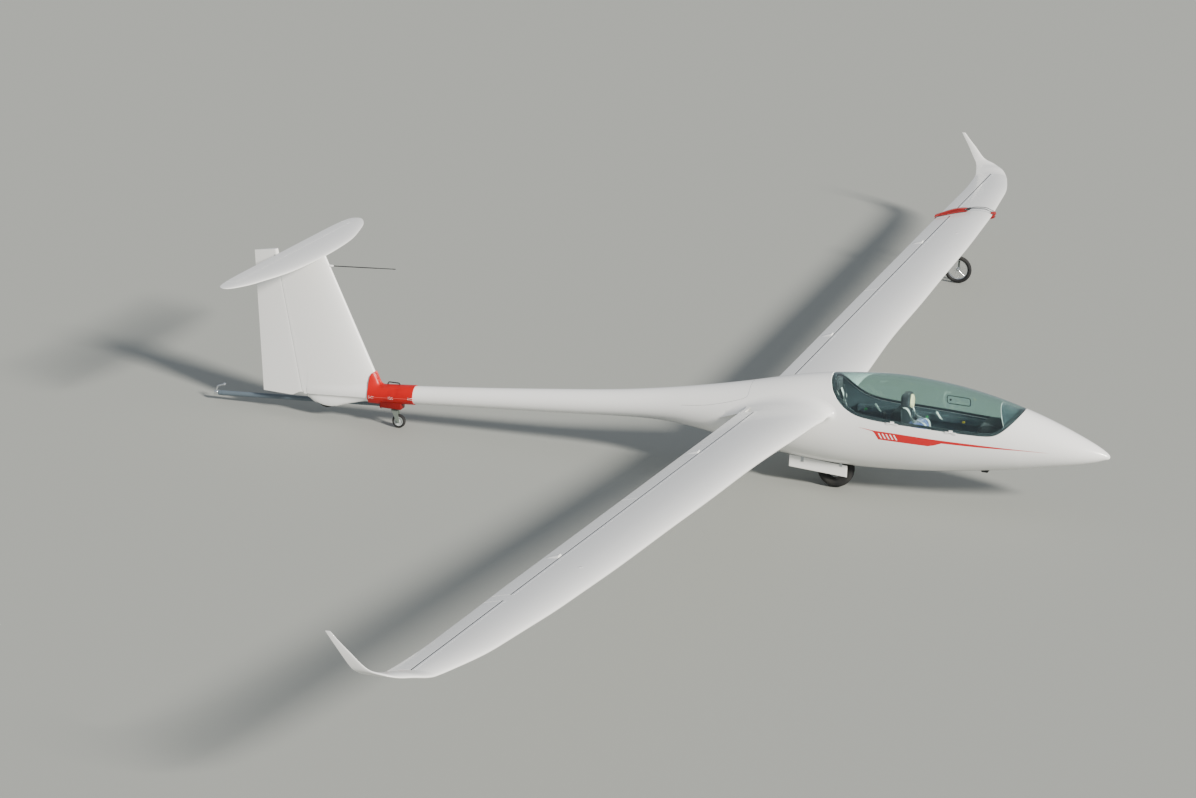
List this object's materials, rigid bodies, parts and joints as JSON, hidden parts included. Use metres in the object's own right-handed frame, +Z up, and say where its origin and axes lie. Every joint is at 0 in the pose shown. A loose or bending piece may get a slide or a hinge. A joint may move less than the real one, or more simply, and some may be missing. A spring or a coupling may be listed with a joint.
{
  "type": "sailplane glider",
  "caption": "Two-seat sailplane with a T tail and upturned wing tips, parked on its main wheel, a tail dolly with tow bar and a wheel clamped under the left wing.",
  "frame": {"origin": "on the ground under the middle of the glider's outer box", "axes": "+X towards the nose, +Y towards the left wing tip, +Z up"},
  "size_m": [9.13, 19.9877, 1.9257],
  "materials": {
    "gelcoat": "white gelcoat on fibre laminate, polished",
    "red_laminate": "red gelcoat on fibre laminate",
    "canopy_acrylic": "clear acrylic with a faint green tint",
    "dark_frame": "dark painted laminate frame",
    "cockpit_lining": "dark grey painted laminate",
    "black_trim": "black moulded trim",
    "cushion_fabric": "dark blue woven cover",
    "tyre": "black rubber",
    "painted_steel": "grey painted and plated steel",
    "aluminium": "drawn aluminium tube"
  },
  "bodies": {
    "glider": {"cockpit_shell": "gelcoat", "rear_fuselage": "gelcoat", "tail_boom": "gelcoat", "fin": "gelcoat", "stabiliser": "gelcoat", "wing_inner_left": "gelcoat", "wing_outer_left": "gelcoat", "wing_tip_left": "gelcoat", "wing_inner_right": "gelcoat", "wing_outer_right": "gelcoat", "wing_tip_right": "gelcoat", "front_seat": "cockpit_lining", "rear_seat": "cockpit_lining", "front_cushion": "cushion_fabric", "rear_cushion": "cushion_fabric", "front_headrest": "black_trim", "rear_headrest": "black_trim", "cockpit_sill_left": "cockpit_lining", "cockpit_sill_right": "cockpit_lining", "rear_bulkhead": "cockpit_lining", "front_instrument_panel": "black_trim", "rear_instrument_panel": "black_trim", "front_stick": "black_trim", "rear_stick": "black_trim", "wheel_well": "cockpit_lining", "gear_yoke": "painted_steel", "gear_door_left": "gelcoat", "gear_door_right": "gelcoat", "dolly_shell": "red_laminate", "dolly_keel": "red_laminate", "dolly_handle": "black_trim", "tow_bar": "aluminium", "tow_coupling": "painted_steel", "clamp_cradle": "red_laminate", "clamp_nose_cap": "red_laminate", "clamp_top_strap": "red_laminate", "wing_wheel_strut": "painted_steel", "fin_probe": "black_trim"},
    "canopy": {"canopy_frame": "dark_frame", "canopy_glass": "canopy_acrylic"},
    "main_wheel": {"main_tyre": "tyre", "main_wheel_rim": "aluminium"},
    "tail_wheel": {"tail_wheel": "tyre"},
    "rudder": {"rudder": "gelcoat"},
    "elevator": {"elevator": "gelcoat"},
    "flap_left": {"flap_left": "gelcoat"},
    "flap_right": {"flap_right": "gelcoat"},
    "aileron_left": {"aileron_inner_left": "gelcoat", "aileron_outer_left": "gelcoat"},
    "aileron_right": {"aileron_inner_right": "gelcoat", "aileron_outer_right": "gelcoat"},
    "caster": {"caster_fork": "painted_steel"},
    "caster_wheel": {"caster_wheel": "tyre"},
    "wing_wheel": {"wing_wheel_tyre": "tyre", "wing_wheel_rim": "painted_steel"}
  },
  "joints": [
    {"name": "canopy_hinge", "type": "hinge", "parent": "glider", "child": "canopy", "pos_m": [2.36, -0.40548, 0.81509], "axis": [0.9991, 0.0271, -0.0337], "range_deg": [0, 75]},
    {"name": "main_wheel_spin", "type": "hinge", "parent": "glider", "child": "main_wheel", "pos_m": [1.93, -0.05298, 0.17986], "axis": [0, 0.9992, -0.039], "continuous": true},
    {"name": "tail_wheel_spin", "type": "hinge", "parent": "glider", "child": "tail_wheel", "pos_m": [-3.318, -0.05173, 0.21184], "axis": [0, 0.9992, -0.039], "continuous": true},
    {"name": "rudder_hinge", "type": "hinge", "parent": "glider", "child": "rudder", "pos_m": [-3.59012, -0.0483, 0.29977], "axis": [-0.2245, 0.038, 0.9737], "range_deg": [-30, 30]},
    {"name": "elevator_hinge", "type": "hinge", "parent": "glider", "child": "elevator", "pos_m": [-3.712, 0.00472, 1.65874], "axis": [0, 0.9992, -0.039], "range_deg": [-20, 25]},
    {"name": "flap_left_hinge", "type": "hinge", "parent": "glider", "child": "flap_left", "pos_m": [1.238, 0.57483, 0.75262], "axis": [0, 1, 0.002], "range_deg": [-20, 8]},
    {"name": "flap_right_hinge", "type": "hinge", "parent": "glider", "child": "flap_right", "pos_m": [1.238, -0.63425, 0.7998], "axis": [0, 0.9968, -0.0799], "range_deg": [-20, 8]},
    {"name": "aileron_left_hinge", "type": "hinge", "parent": "glider", "child": "aileron_left", "pos_m": [1.238, 0.57483, 0.75262], "axis": [0, 1, 0.002], "range_deg": [-20, 20]},
    {"name": "aileron_right_hinge", "type": "hinge", "parent": "glider", "child": "aileron_right", "pos_m": [1.238, -0.63425, 0.7998], "axis": [0, 0.9968, -0.0799], "range_deg": [-20, 20]},
    {"name": "caster_swivel", "type": "hinge", "parent": "glider", "child": "caster", "pos_m": [-2.598, -0.05415, 0.14989], "axis": [0, 0.039, 0.9992], "continuous": true},
    {"name": "caster_wheel_spin", "type": "hinge", "parent": "caster", "child": "caster_wheel", "pos_m": [-2.548, -0.05731, 0.06895], "axis": [0, 0.9992, -0.039], "continuous": true},
    {"name": "wing_wheel_spin", "type": "hinge", "parent": "glider", "child": "wing_wheel", "pos_m": [1.37, 7.44, 0.16], "axis": [0, 1, 0], "continuous": true}
  ],
  "couplings": [
    {"joint": "flap_right_hinge", "follows": "flap_left_hinge", "ratio": 1},
    {"joint": "aileron_right_hinge", "follows": "aileron_left_hinge", "ratio": -1}
  ]
}
